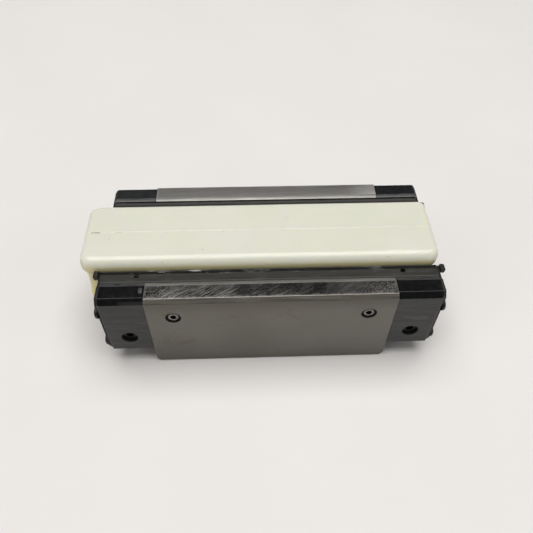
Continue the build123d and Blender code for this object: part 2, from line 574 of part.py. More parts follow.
# ---------------------------------------------------------------- end cap screws
with BuildPart() as cap_screws_right:
    with BuildSketch(Plane.YZ.offset(SEAL_X)) as screw_head_section:
        with Locations(*[(s * y, z) for (y, z) in CAP_SCREWS for s in (-1, 1)]):
            Circle(CAP_SCREW_HEAD_R)
    extrude(amount=CAP_SCREW_HEAD_H)
    fillet(cap_screws_right.edges().filter_by(GeomType.CIRCLE).group_by(Axis.X)[-1], radius=1.1)
    with BuildSketch(Plane.YZ.offset(CAP_SCREW_END_X)) as screw_shank_section:
        with Locations(*[(s * y, z) for (y, z) in CAP_SCREWS for s in (-1, 1)]):
            Circle(CAP_SCREW_R)
    extrude(amount=SEAL_X - CAP_SCREW_END_X)
    with BuildSketch(Plane.YZ.offset(SEAL_X + CAP_SCREW_HEAD_H)) as screw_hex_section:
        with Locations(*[(s * y, z) for (y, z) in CAP_SCREWS for s in (-1, 1)]):
            RegularPolygon(radius=1.45, side_count=6)
    extrude(amount=-1.6, mode=Mode.SUBTRACT)
cap_screws_right.part.label = "cap_screws_right"
export_step(cap_screws_right.part, "parts/cap_screws_right.step")

with BuildPart() as cap_screws_left:
    mirror(cap_screws_right.part, about=Plane.YZ)
cap_screws_left.part.label = "cap_screws_left"
export_step(cap_screws_left.part, "parts/cap_screws_left.step")

# ---------------------------------------------------------------- side seals, the strips along both skirts
with BuildPart() as side_seal_far:
    with BuildSketch(Plane.YZ.offset(-CAP_X)) as strip_section:
        with BuildLine() as strip_line:
            Polyline((22.3, STRIP_Z), (LAND_Y, STRIP_Z), (LAND_Y, 54.85), (29.3, 54.75), (28.9, 55.15), (28.45, 55.15),
                     (28.1, 54.75), (23.6, 54.65), (22.8, 56.0), (22.3, 56.0), (22.3, STRIP_Z))
        make_face()
    extrude(amount=2 * CAP_X)
    # windows where the strip snaps over a hook at each end
    with BuildSketch(Plane.XY.offset(STRIP_Z)) as strip_windows:
        with Locations((-69.6, 24.7), (69.6, 24.7)):
            Rectangle(2.4, 2.2)
    extrude(amount=3.0, mode=Mode.SUBTRACT)
side_seal_far.part.label = "side_seal_far"
export_step(side_seal_far.part, "parts/side_seal_far.step")

with BuildPart() as side_seal_near:
    mirror(side_seal_far.part, about=Plane.XZ)
side_seal_near.part.label = "side_seal_near"
export_step(side_seal_near.part, "parts/side_seal_near.step")

# ---------------------------------------------------------------- shipping rail
# outline of the bar with its ends rounded over
with BuildPart() as dummy_envelope:
    with BuildSketch(Plane.XY.offset(DUMMY_BOT)) as dummy_plan:
        with Locations(((DUMMY_X0 + DUMMY_X1) / 2, 0)):
            RectangleRounded(DUMMY_X1 - DUMMY_X0, 2 * DUMMY_HALF, 6.5)
    extrude(amount=DUMMY_TOP - DUMMY_BOT)
    fillet(dummy_envelope.faces().sort_by(Axis.Z)[-1].edges(), radius=DUMMY_END_R)

with BuildPart() as dummy_rail:
    with BuildSketch(Plane.YZ.offset(DUMMY_X0)) as dummy_section:
        with BuildLine() as dummy_line:
            Polyline((0, DUMMY_TOP), (DUMMY_HALF - DUMMY_R, DUMMY_TOP))
            ThreePointArc((DUMMY_HALF - DUMMY_R, DUMMY_TOP),
                          (DUMMY_HALF - DUMMY_R + DUMMY_R * K, DUMMY_TOP - DUMMY_R + DUMMY_R * K),
                          (DUMMY_HALF, DUMMY_TOP - DUMMY_R))
            Polyline((DUMMY_HALF, DUMMY_TOP - DUMMY_R), (DUMMY_HALF, DUMMY_HALF + FLANK_UP),
                     (DUMMY_WAIST, DUMMY_WAIST + FLANK_UP), (DUMMY_WAIST, 2 * MID_Z - DUMMY_WAIST - FLANK_UP),
                     (DUMMY_HALF - 0.2, 2 * MID_Z - DUMMY_HALF - FLANK_UP + 0.2), (DUMMY_HALF - 0.8, DUMMY_BOT),
                     (0, DUMMY_BOT), (0, DUMMY_TOP))
        make_face()
        mirror(about=Plane.YZ)
    extrude(amount=DUMMY_X1 - DUMMY_X0)
    add(dummy_envelope.part, mode=Mode.INTERSECT)
dummy_rail.part.label = "dummy_rail"
export_step(dummy_rail.part, "parts/dummy_rail.step")
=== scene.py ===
import math

import bmesh
import bpy
from mathutils import Matrix, Vector, noise
from mathutils.bvhtree import BVHTree


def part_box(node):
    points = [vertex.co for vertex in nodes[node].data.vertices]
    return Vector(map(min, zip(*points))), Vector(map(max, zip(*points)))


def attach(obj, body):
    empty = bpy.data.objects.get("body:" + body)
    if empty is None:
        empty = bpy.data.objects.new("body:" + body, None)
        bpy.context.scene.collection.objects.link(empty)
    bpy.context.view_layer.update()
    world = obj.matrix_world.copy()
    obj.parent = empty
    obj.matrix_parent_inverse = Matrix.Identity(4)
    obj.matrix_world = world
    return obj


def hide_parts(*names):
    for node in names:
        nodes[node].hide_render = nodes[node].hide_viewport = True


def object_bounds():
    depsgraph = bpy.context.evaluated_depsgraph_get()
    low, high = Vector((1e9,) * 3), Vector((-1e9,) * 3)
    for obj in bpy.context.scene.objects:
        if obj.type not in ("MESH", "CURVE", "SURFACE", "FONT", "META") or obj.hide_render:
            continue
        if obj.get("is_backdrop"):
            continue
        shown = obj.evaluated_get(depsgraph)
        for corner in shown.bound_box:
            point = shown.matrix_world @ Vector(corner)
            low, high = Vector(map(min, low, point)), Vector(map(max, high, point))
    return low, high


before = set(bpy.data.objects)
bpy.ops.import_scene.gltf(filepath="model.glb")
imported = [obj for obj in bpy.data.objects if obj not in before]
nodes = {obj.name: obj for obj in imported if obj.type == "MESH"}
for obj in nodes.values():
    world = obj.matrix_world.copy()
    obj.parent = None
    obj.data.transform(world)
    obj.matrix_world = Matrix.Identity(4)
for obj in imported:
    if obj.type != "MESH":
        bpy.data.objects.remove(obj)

CAD_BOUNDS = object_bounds()
MM = 0.001
scene = bpy.context.scene


# ------------------------------------------------------------------ camera
def make_camera():
    """Looks down at the near side from about 50 degrees, as one does at a part lying on a bench."""
    cam = bpy.data.cameras.new("camera")
    cam.sensor_width = 36.0
    cam.sensor_fit = "HORIZONTAL"
    cam.lens = 37.164
    cam.clip_start = 0.01
    ob = bpy.data.objects.new("camera", cam)
    right = Vector((0.999324, -0.035654, 0.008932))
    up = Vector((0.021706, 0.768570, 0.639397))
    back = Vector((-0.029662, -0.638771, 0.768825))
    m = Matrix((right, up, back)).transposed().to_4x4()
    m.translation = Vector((-10.558, -205.324, 277.725)) * MM
    ob.matrix_world = m
    scene.collection.objects.link(ob)
    scene.camera = ob


make_camera()


# ------------------------------------------------------------------ node helpers
class Mat:
    """A Principled material with short calls for its procedural nodes."""

    def __init__(self, name, base=(0.5, 0.5, 0.5), rough=0.5, metal=0.0, **sockets):
        self.m = bpy.data.materials.new(name)
        self.m.use_nodes = True
        self.t = self.m.node_tree
        self.b = self.t.nodes["Principled BSDF"]
        self.b.inputs["Base Color"].default_value = (*base, 1)
        self.b.inputs["Roughness"].default_value = rough
        self.b.inputs["Metallic"].default_value = metal
        for k, v in sockets.items():
            self.b.inputs[k.replace("_", " ")].default_value = v
        tc = self.t.nodes.new("ShaderNodeTexCoord")
        self.pos = tc.outputs["Object"]
        self.height = None

    def node(self, kind, **props):
        n = self.t.nodes.new(kind)
        for k, v in props.items():
            setattr(n, k, v)
        return n

    def link(self, a, b):
        self.t.links.new(a, b)

    def put(self, socket, value):
        if hasattr(value, "is_output"):
            self.link(value, socket)
        elif isinstance(value, (tuple, list)) and len(value) == 3 and socket.type == "RGBA":
            socket.default_value = (*value, 1)
        else:
            socket.default_value = value

    def mapping(self, scale=(1, 1, 1), rot=(0, 0, 0), loc=(0, 0, 0), vec=None):
        n = self.node("ShaderNodeMapping")
        n.inputs["Scale"].default_value = scale
        n.inputs["Rotation"].default_value = [math.radians(a) for a in rot]
        n.inputs["Location"].default_value = loc
        self.link(vec or self.pos, n.inputs["Vector"])
        return n.outputs["Vector"]

    def noise(self, scale=100.0, detail=3.0, rough=0.55, dist=0.0, vec=None):
        n = self.node("ShaderNodeTexNoise")
        n.inputs["Scale"].default_value = scale
        n.inputs["Detail"].default_value = detail
        n.inputs["Roughness"].default_value = rough
        n.inputs["Distortion"].default_value = dist
        self.link(vec or self.pos, n.inputs["Vector"])
        return n.outputs["Fac"]

    def ramp(self, fac, *stops, interp="LINEAR"):
        n = self.node("ShaderNodeValToRGB")
        n.color_ramp.interpolation = interp
        el = n.color_ramp.elements
        while len(el) > 1:
            el.remove(el[-1])
        for i, (p, c) in enumerate(stops):
            e = el[0] if i == 0 else el.new(p)
            e.position = p
            e.color = (c, c, c, 1) if not isinstance(c, (tuple, list)) else (*c, 1)
        self.link(fac, n.inputs["Fac"])
        return n.outputs["Color"]

    def math(self, op, a, b=0.0, clamp=False):
        n = self.node("ShaderNodeMath", operation=op, use_clamp=clamp)
        self.put(n.inputs[0], a)
        self.put(n.inputs[1], b)
        return n.outputs[0]

    def range(self, v, a, b, lo=0.0, hi=1.0, smooth=True):
        n = self.node("ShaderNodeMapRange", interpolation_type="SMOOTHSTEP" if smooth else "LINEAR")
        self.put(n.inputs["Value"], v)
        n.inputs["From Min"].default_value = a
        n.inputs["From Max"].default_value = b
        n.inputs["To Min"].default_value = lo
        n.inputs["To Max"].default_value = hi
        return n.outputs["Result"]

    def mix(self, fac, a, b):
        n = self.node("ShaderNodeMix", data_type="RGBA")
        self.put(n.inputs["Factor"], fac)
        self.put(n.inputs[6], a)
        self.put(n.inputs[7], b)
        return n.outputs[2]

    def xyz(self):
        n = self.node("ShaderNodeSeparateXYZ")
        self.link(self.pos, n.inputs[0])
        return n.outputs

    def color(self, v):
        self.put(self.b.inputs["Base Color"], v)

    def rough(self, v):
        self.put(self.b.inputs["Roughness"], v)

    def bump(self, height, strength=0.5, dist=0.0001):
        n = self.node("ShaderNodeBump")
        n.inputs["Strength"].default_value = strength
        n.inputs["Distance"].default_value = dist
        self.link(height, n.inputs["Height"])
        if self.height is not None:
            self.link(self.height, n.inputs["Normal"])
        self.height = n.outputs["Normal"]
        self.link(self.height, self.b.inputs["Normal"])

    def scratches(self, angle, length=0.012, width=0.00022, lo=0.60, hi=0.72, warp=0.0, seed=0.0):
        """Long thin marks in the XY plane, turned by angle in degrees from X."""
        v = self.mapping(scale=(1 / length, 1 / width, 1 / length), rot=(0, 0, 0), loc=(seed, seed * 1.7, seed * 0.3),
                         vec=self.mapping(rot=(0, 0, angle)))
        return self.ramp(self.noise(1.0, 2.0, 0.6, warp, vec=v), (lo, 0.0), (hi, 1.0))


# ------------------------------------------------------------------ materials
def steel_side():
    m = Mat("steel_side", rough=0.42, metal=1.0)
    big = m.noise(22.0, 3.0, 0.5)
    fine = m.noise(1.0, 3.0, 0.6, vec=m.mapping(scale=(900, 900, 5200)))
    grain = m.noise(9000.0, 2.0, 0.6)
    x, y, z = m.xyz()
    body = m.mix(m.range(big, 0.35, 0.68), (0.138, 0.131, 0.1145), (0.180, 0.173, 0.155))
    body = m.mix(m.range(fine, 0.35, 0.70, 0.0, 0.35), body, (0.235, 0.225, 0.20))
    stain = m.ramp(m.noise(75.0, 4.0, 0.6, 0.4), (0.63, 0.0), (0.70, 1.0))
    body = m.mix(m.math("MULTIPLY", stain, 0.35), body, (0.115, 0.092, 0.062))
    speck = m.ramp(m.noise(420.0, 2.0, 0.5), (0.745, 0.0), (0.765, 1.0))
    body = m.mix(m.math("MULTIPLY", speck, 0.8), body, (0.045, 0.036, 0.028))
    # painted shade: the side face is darkened towards the floor and towards its top edge
    low = m.range(z, 0.0, 0.010, 0.35, 0.0)
    body = m.mix(low, body, (0.115, 0.11, 0.10))
    body = m.mix(m.range(z, 0.044, 0.055, 0.0, 0.60), body, (0.108, 0.100, 0.086))
    m.color(body)
    m.rough(m.math("ADD", m.range(big, 0.3, 0.7, 0.40, 0.50), m.range(grain, 0.3, 0.7, -0.04, 0.04)))
    m.bump(grain, 0.18, 0.00003)
    m.bump(fine, 0.12, 0.00003)
    return m.m


def steel_skirt():
    """Ground skirt face: dark, with grinding marks, loose scratches and worn bright edges on the near side; the far
    skirt is painted much lighter, a painted reflection.
    """
    m = Mat("steel_skirt", rough=0.36, metal=1.0)
    x, y, z = m.xyz()
    near = m.range(y, -0.001, 0.001, 1.0, 0.0)
    patch = m.noise(55.0, 4.0, 0.6, 0.6)
    dark = m.mix(m.range(patch, 0.38, 0.62), (0.019, 0.0184, 0.0175), (0.048, 0.0465, 0.0445))
    s1 = m.scratches(-32, 0.016, 0.00034, 0.56, 0.70, 0.2)
    s2 = m.scratches(-20, 0.022, 0.00026, 0.58, 0.70, 0.3, 3.1)
    s3 = m.scratches(-52, 0.010, 0.00030, 0.60, 0.72, 0.3, 7.7)
    s4 = m.scratches(24, 0.009, 0.00024, 0.62, 0.74, 0.2, 11.3)
    s5 = m.scratches(-3, 0.030, 0.00022, 0.60, 0.72, 0.4, 17.9)
    where1 = m.range(m.noise(70.0, 2.0, 0.5, vec=m.mapping(loc=(0.31, 0.2, 0))), 0.40, 0.58)
    where2 = m.range(m.noise(90.0, 2.0, 0.5, vec=m.mapping(loc=(1.31, 0.7, 0))), 0.42, 0.60)
    where3 = m.range(m.noise(60.0, 2.0, 0.5, vec=m.mapping(loc=(2.1, 0.1, 0))), 0.45, 0.62)
    marks = m.math("MAXIMUM", m.math("MULTIPLY", s1, where1), m.math("MULTIPLY", s2, where2))
    marks = m.math("MAXIMUM", marks, m.math("MULTIPLY", s3, where3))
    marks = m.math("MAXIMUM", marks, m.math("MULTIPLY", s4, m.math("MULTIPLY", where2, 0.6)))
    marks = m.math("MAXIMUM", marks, m.math("MULTIPLY", s5, 0.55))
    marks = m.math("MULTIPLY", marks, m.range(x, -0.040, 0.004, 1.0, 0.50))
    # worn long edges and corners
    d_out = m.math("SUBTRACT", 0.0407, m.math("ABSOLUTE", y))
    d_in = m.math("SUBTRACT", m.math("ABSOLUTE", y), 0.0324)
    d_end = m.math("SUBTRACT", 0.0645, m.math("ABSOLUTE", x))
    ragged = m.range(m.noise(260.0, 4.0, 0.65), 0.30, 0.70, 0.0, 0.0011)
    edge = m.math("MINIMUM", m.math("MINIMUM", d_out, m.math("MULTIPLY", d_in, 3.0)), m.math("MULTIPLY", d_end, 0.9))
    worn = m.range(m.math("SUBTRACT", edge, ragged), -0.0002, 0.0006, 1.0, 0.0)
    near_col = m.mix(m.math("MULTIPLY", marks, 0.95), dark, (0.42, 0.41, 0.39))
    near_col = m.mix(m.math("MULTIPLY", worn, 0.26), near_col, (0.40, 0.385, 0.36))
    mottle = m.math("MULTIPLY", m.range(m.noise(1500.0, 3.0, 0.7), 0.46, 0.60), m.range(m.math("ABSOLUTE", x), 0.042, 0.058, 0.10, 0.55))
    near_col = m.mix(mottle, near_col, (0.30, 0.29, 0.275))
    # far skirt: even ground grey, painted much lighter than the near skirt as a painted reflection, and brighter
    # towards the right end
    lay = m.noise(1.0, 3.0, 0.6, vec=m.mapping(scale=(60, 3600, 60)))
    far_tone_and_reflection = m.mix(m.range(lay, 0.3, 0.7), (0.215, 0.21, 0.20), (0.285, 0.278, 0.266))
    bright = m.math("MULTIPLY", m.range(x, 0.045, 0.062), m.range(m.noise(120.0, 2.0), 0.30, 0.62, 0.55, 1.0))
    far_tone_and_reflection = m.mix(m.math("MULTIPLY", bright, 0.55), far_tone_and_reflection, (0.62, 0.61, 0.58))
    far_tone_and_reflection = m.mix(m.math("MULTIPLY", worn, 0.30), far_tone_and_reflection, (0.48, 0.47, 0.45))
    # the near and far skirts are one ground face; their different tones are painted reflection
    m.color(m.mix(near, far_tone_and_reflection, near_col))
    uneven = m.math("MULTIPLY", near, m.math("ADD", m.range(patch, 0.35, 0.65, -0.08, 0.06), m.math("MULTIPLY", marks, 0.12)))
    m.rough(m.math("ADD", m.range(lay, 0.3, 0.7, 0.39, 0.45), uneven))
    m.bump(m.math("MULTIPLY", marks, near), 0.25, 0.00003)
    m.bump(lay, 0.10, 0.00002)
    return m.m


def steel_chamfer():
    m = Mat("steel_chamfer", rough=0.38, metal=1.0)
    x, y, z = m.xyz()
    lay = m.noise(1.0, 3.0, 0.6, vec=m.mapping(scale=(45, 3000, 3000)))
    c = m.mix(m.range(lay, 0.3, 0.7), (0.19, 0.176, 0.15), (0.25, 0.235, 0.205))
    nick = m.ramp(m.noise(300.0, 3.0, 0.6), (0.60, 0.0), (0.68, 1.0))
    c = m.mix(m.math("MULTIPLY", nick, 0.35), c, (0.30, 0.29, 0.26))
    m.color(c)
    m.rough(m.range(lay, 0.3, 0.7, 0.32, 0.46))
    m.bump(lay, 0.15, 0.00003)
    return m.m


def steel_land():
    """Shallow land beside the channel mouth; the near land is painted lighter, a painted reflection."""
    m = Mat("steel_land", rough=0.36, metal=1.0)
    lay = m.noise(1.0, 3.0, 0.6, vec=m.mapping(scale=(50, 3600, 3600)))
    big = m.noise(1.0, 3.0, 0.55, vec=m.mapping(scale=(55, 400, 400)))
    c = m.mix(m.range(lay, 0.3, 0.7), (0.185, 0.18, 0.168), (0.27, 0.262, 0.248))
    c = m.mix(m.range(big, 0.45, 0.72, 0.0, 0.45), c, (0.36, 0.35, 0.33))
    x, y, z = m.xyz()
    # painted reflection: the near land is coloured lighter than the far land
    near_reflection = m.mix(m.range(lay, 0.3, 0.7), (0.27, 0.262, 0.248), (0.40, 0.39, 0.37))
    c = m.mix(m.range(y, -0.001, 0.001, 0.75, 0.0), c, near_reflection)
    m.color(c)
    m.rough(m.range(lay, 0.3, 0.7, 0.38, 0.50))
    m.bump(lay, 0.15, 0.00003)
    return m.m


def steel_ground():
    """Mounting face and block ends: ground with a straight lay."""
    m = Mat("steel_ground", rough=0.33, metal=1.0)
    lay = m.noise(1.0, 4.0, 0.65, vec=m.mapping(scale=(55, 4200, 4200)))
    big = m.noise(35.0, 3.0, 0.5)
    c = m.mix(m.range(lay, 0.25, 0.75), (0.27, 0.26, 0.24), (0.42, 0.41, 0.39))
    c = m.mix(m.range(big, 0.45, 0.75, 0.0, 0.35), c, (0.20, 0.185, 0.16))
    m.color(c)
    m.rough(m.range(lay, 0.3, 0.7, 0.26, 0.42))
    m.bump(lay, 0.25, 0.00003)
    return m.m


def steel_inner():
    """Channel and bores: dark, oiled."""
    m = Mat("steel_inner", rough=0.35, metal=1.0)
    n = m.noise(500.0, 3.0, 0.6)
    m.color(m.mix(m.range(n, 0.35, 0.65), (0.07, 0.066, 0.06), (0.13, 0.125, 0.115)))
    m.rough(m.range(n, 0.35, 0.65, 0.28, 0.45))
    m.bump(n, 0.1, 0.00003)
    return m.m


def cap_gloss():
    m = Mat("cap_gloss", rough=0.22, Specular_IOR_Level=0.24)
    n = m.noise(240.0, 3.0, 0.55)
    f = m.noise(2600.0, 2.0, 0.5)
    x, y, z = m.xyz()
    c = m.mix(m.range(n, 0.35, 0.7), (0.0042, 0.0045, 0.0050), (0.0068, 0.0072, 0.0076))
    # painted reflection: the far side of the cap top is coloured lighter, more so at the left
    far_reflection = m.math("MULTIPLY", m.range(y, -0.001, 0.001), m.range(x, -0.02, 0.02, 1.0, 0.35))
    c = m.mix(m.math("MULTIPLY", far_reflection, m.range(n, 0.3, 0.6, 0.65, 1.0)), c, (0.0215, 0.0230, 0.0240))
    s = m.scratches(-14, 0.014, 0.0002, 0.66, 0.74, 0.3)
    c = m.mix(m.math("MULTIPLY", s, 0.16), c, (0.05, 0.05, 0.052))
    m.color(c)
    m.rough(m.math("ADD", m.range(n, 0.3, 0.7, 0.15, 0.24), m.math("MULTIPLY", s, 0.15)))
    m.bump(f, 0.10, 0.00002)
    return m.m


def cap_land():
    m = Mat("cap_land", rough=0.32, Specular_IOR_Level=0.45)
    n = m.noise(1.0, 3.0, 0.55, vec=m.mapping(scale=(160, 900, 900)))
    c = m.mix(m.range(n, 0.35, 0.7), (0.027, 0.027, 0.0278), (0.050, 0.050, 0.051))
    m.color(c)
    m.rough(m.range(n, 0.3, 0.7, 0.26, 0.38))
    m.bump(n, 0.1, 0.00003)
    return m.m


def cap_matte():
    """Fine moulded texture of the side faces, greyish where the light catches it."""
    m = Mat("cap_matte", rough=0.55, Specular_IOR_Level=0.5)
    tex = m.noise(3800.0, 2.0, 0.6)
    band = m.noise(1.0, 3.0, 0.55, vec=m.mapping(scale=(60, 60, 420)))
    x, y, z = m.xyz()
    c = m.mix(m.range(band, 0.35, 0.68), (0.022, 0.0225, 0.0235), (0.036, 0.0365, 0.037))
    rub = m.math("MULTIPLY", m.range(m.noise(1.0, 2.0, 0.5, vec=m.mapping(scale=(90, 90, 260), loc=(0.7, 0.1, 0.4))), 0.52, 0.66),
                 m.math("MULTIPLY", m.range(z, 0.030, 0.036), m.range(z, 0.036, 0.044, 1.0, 0.0)))
    c = m.mix(m.math("MULTIPLY", rub, 0.5), c, (0.07, 0.07, 0.07))
    m.color(c)
    m.rough(m.range(tex, 0.3, 0.7, 0.46, 0.60))
    m.bump(tex, 0.35, 0.00004)
    return m.m


def cap_inner():
    m = Mat("cap_inner", rough=0.5)
    n = m.noise(1200.0, 2.0, 0.5)
    m.color(m.mix(m.range(n, 0.35, 0.65), (0.014, 0.014, 0.015), (0.024, 0.024, 0.025)))
    m.rough(m.range(n, 0.3, 0.7, 0.42, 0.58))
    m.bump(n, 0.15, 0.00003)
    return m.m


def rubber_strip():
    m = Mat("rubber_strip", rough=0.48, Specular_IOR_Level=0.38)
    x, y, z = m.xyz()
    lay = m.noise(1.0, 3.0, 0.6, vec=m.mapping(scale=(40, 3400, 3400)))
    smear = m.noise(1.0, 4.0, 0.6, 0.5, vec=m.mapping(scale=(95, 420, 420)))
    c = m.mix(m.range(lay, 0.3, 0.72), (0.0135, 0.0128, 0.0108), (0.025, 0.0238, 0.0205))
    c = m.mix(m.range(smear, 0.52, 0.78, 0.0, 0.5), c, (0.070, 0.068, 0.063))
    speck = m.ramp(m.noise(1500.0, 2.0, 0.5), (0.68, 0.0), (0.72, 1.0))
    c = m.mix(m.math("MULTIPLY", m.math("MULTIPLY", speck, m.range(smear, 0.48, 0.6)), 0.6), c, (0.22, 0.22, 0.21))
    # painted highlight: light streaks along the lip beside the rail
    lip = m.range(m.math("ABSOLUTE", y), 0.0231, 0.0241, 1.0, 0.0)
    patch = m.range(m.noise(1.0, 3.0, 0.6, vec=m.mapping(scale=(70, 300, 300), loc=(0.4, 0, 0))), 0.50, 0.62)
    patch = m.math("MULTIPLY", patch, m.range(x, -0.035, -0.010, 1.0, 0.25))
    c = m.mix(m.math("MULTIPLY", m.math("MULTIPLY", lip, patch), 0.85), c, (0.50, 0.50, 0.48))
    # painted highlight: the outer bead is coloured lighter
    bead = m.math("MULTIPLY", m.range(m.math("ABSOLUTE", y), 0.0279, 0.0283), m.range(m.math("ABSOLUTE", y), 0.0290, 0.0293, 1.0, 0.0))
    c = m.mix(m.math("MULTIPLY", bead, 0.30), c, (0.12, 0.118, 0.112))
    m.color(c)
    m.rough(m.math("ADD", m.range(smear, 0.4, 0.8, 0.40, 0.54), m.range(lay, 0.3, 0.7, -0.04, 0.04)))
    m.bump(lay, 0.18, 0.00003)
    return m.m


def rubber_seal():
    m = Mat("rubber_seal", rough=0.42, Specular_IOR_Level=0.32)
    n = m.noise(800.0, 3.0, 0.55)
    b = m.noise(90.0, 3.0, 0.5)
    c = m.mix(m.range(b, 0.35, 0.7), (0.0095, 0.0092, 0.009), (0.019, 0.0185, 0.018))
    c = m.mix(m.ramp(n, (0.66, 0.0), (0.74, 0.5)), c, (0.06, 0.055, 0.05))
    m.color(c)
    m.rough(m.range(n, 0.3, 0.7, 0.34, 0.50))
    m.bump(n, 0.15, 0.00004)
    return m.m


def plate_black():
    m = Mat("plate_black", rough=0.38, metal=0.0, Specular_IOR_Level=0.6)
    n = m.noise(1600.0, 2.0, 0.5)
    c = m.mix(m.range(n, 0.35, 0.7), (0.012, 0.0115, 0.011), (0.024, 0.022, 0.020))
    chip = m.ramp(m.noise(500.0, 3.0, 0.6), (0.64, 0.0), (0.70, 1.0))
    c = m.mix(m.math("MULTIPLY", chip, 0.35), c, (0.095, 0.070, 0.055))
    m.color(c)
    m.rough(m.range(n, 0.3, 0.7, 0.30, 0.46))
    m.bump(n, 0.12, 0.00003)
    return m.m


def screw_black():
    m = Mat("screw_black", rough=0.36, metal=1.0)
    n = m.noise(1800.0, 2.0, 0.5)
    c = m.mix(m.range(n, 0.35, 0.7), (0.035, 0.033, 0.031), (0.075, 0.070, 0.066))
    rub = m.ramp(m.noise(700.0, 3.0, 0.6), (0.58, 0.0), (0.68, 1.0))
    c = m.mix(m.math("MULTIPLY", rub, 0.4), c, (0.20, 0.15, 0.12))
    m.color(c)
    m.rough(m.range(n, 0.3, 0.7, 0.28, 0.45))
    m.bump(n, 0.12, 0.00003)
    return m.m


def set_screw_grey():
    m = Mat("set_screw_grey", rough=0.40, metal=1.0)
    n = m.noise(2200.0, 2.0, 0.5)
    b = m.noise(600.0, 2.0, 0.5)
    c = m.mix(m.range(n, 0.35, 0.7), (0.165, 0.16, 0.152), (0.27, 0.262, 0.25))
    c = m.mix(m.range(b, 0.5, 0.7, 0.0, 0.5), c, (0.10, 0.095, 0.09))
    m.color(c)
    m.rough(m.range(n, 0.3, 0.7, 0.32, 0.5))
    m.bump(n, 0.12, 0.00003)
    return m.m


# painted shade: near-black colour for the insides of holes, hex sockets, counterbores and port mouths
def black_recess(name="black_recess"):
    m = Mat(name, rough=0.6, Specular_IOR_Level=0.12)
    n = m.noise(1500.0, 2.0, 0.5)
    m.color(m.mix(m.range(n, 0.35, 0.65), (0.0035, 0.0033, 0.003), (0.010, 0.0095, 0.009)))
    m.rough(m.range(n, 0.3, 0.7, 0.5, 0.7))
    return m.m


def plug_black():
    m = Mat("plug_black", rough=0.35, Specular_IOR_Level=0.3)
    n = m.noise(1500.0, 2.0, 0.5)
    m.color(m.mix(m.range(n, 0.35, 0.65), (0.008, 0.008, 0.008), (0.016, 0.016, 0.016)))
    m.rough(m.range(n, 0.3, 0.7, 0.25, 0.42))
    return m.m


def ivory():
    """Moulded polyethylene, milky and yellowish where light passes through more of it."""
    m = Mat("ivory_plastic", rough=0.34, Subsurface_Weight=0.55, Subsurface_Scale=0.004, Specular_IOR_Level=0.5)
    m.b.inputs["Subsurface Radius"].default_value = (1.0, 0.85, 0.45)
    x, y, z = m.xyz()
    cloud = m.noise(28.0, 3.0, 0.5, 0.3)
    haze = m.noise(140.0, 3.0, 0.5)
    top = m.mix(m.range(cloud, 0.35, 0.68), (0.708, 0.710, 0.610), (0.728, 0.727, 0.642))
    top = m.mix(m.range(haze, 0.45, 0.75, 0.0, 0.10), top, (0.69, 0.675, 0.53))
    # painted light: the lower part is coloured yellower and brighter, for light passing through more of the plastic
    low = m.range(z, 0.0606, 0.0562, 0.0, 1.0)
    c = m.mix(low, top, (0.80, 0.735, 0.41))
    # brown specks and a drag mark on the parting line
    speck = m.ramp(m.noise(330.0, 2.0, 0.5), (0.755, 0.0), (0.775, 1.0))
    c = m.mix(m.math("MULTIPLY", speck, 0.55), c, (0.36, 0.33, 0.20))
    line = m.range(m.math("ABSOLUTE", m.math("ADD", y, 0.0004)), 0.00012, 0.00034, 1.0, 0.0)
    # painted highlight: a faint lighter line along the parting-line ridge
    seam_highlight = m.math("MULTIPLY", m.range(m.math("ABSOLUTE", m.math("ADD", y, 0.0001)), 0.00018, 0.00042, 1.0, 0.0),
                  m.range(m.noise(1.0, 2.0, 0.5, vec=m.mapping(scale=(90, 5, 5))), 0.35, 0.60, 0.25, 0.85))
    c = m.mix(m.math("MULTIPLY", seam_highlight, m.range(z, 0.0615, 0.0620)), c, (0.83, 0.82, 0.745))
    dash = m.math("MULTIPLY", m.range(x, -0.0955, -0.0950), m.range(x, -0.0906, -0.0900, 1.0, 0.0))
    dash2 = m.math("MULTIPLY", m.range(x, -0.0830, -0.0820), m.range(x, -0.0792, -0.0780, 0.35, 0.0))
    c = m.mix(m.math("MULTIPLY", line, m.math("ADD", dash, dash2)), c, (0.24, 0.22, 0.10))
    m.color(c)
    scr = m.scratches(2, 0.030, 0.00035, 0.60, 0.72, 0.3)
    m.rough(m.math("ADD", m.range(haze, 0.3, 0.7, 0.15, 0.21), m.math("MULTIPLY", scr, 0.10)))
    m.bump(m.noise(900.0, 2.0, 0.5), 0.05, 0.00004)
    m.bump(scr, 0.10, 0.00003)
    return m.m


def simple(name, a, b, scale, rough, metal=0.0, **kw):
    m = Mat(name, rough=rough, metal=metal, **kw)
    n = m.noise(scale, 3.0, 0.55)
    m.color(m.mix(m.range(n, 0.35, 0.65), a, b))
    m.rough(m.range(n, 0.3, 0.7, rough - 0.05, rough + 0.06))
    m.bump(n, 0.1, 0.00003)
    return m.m


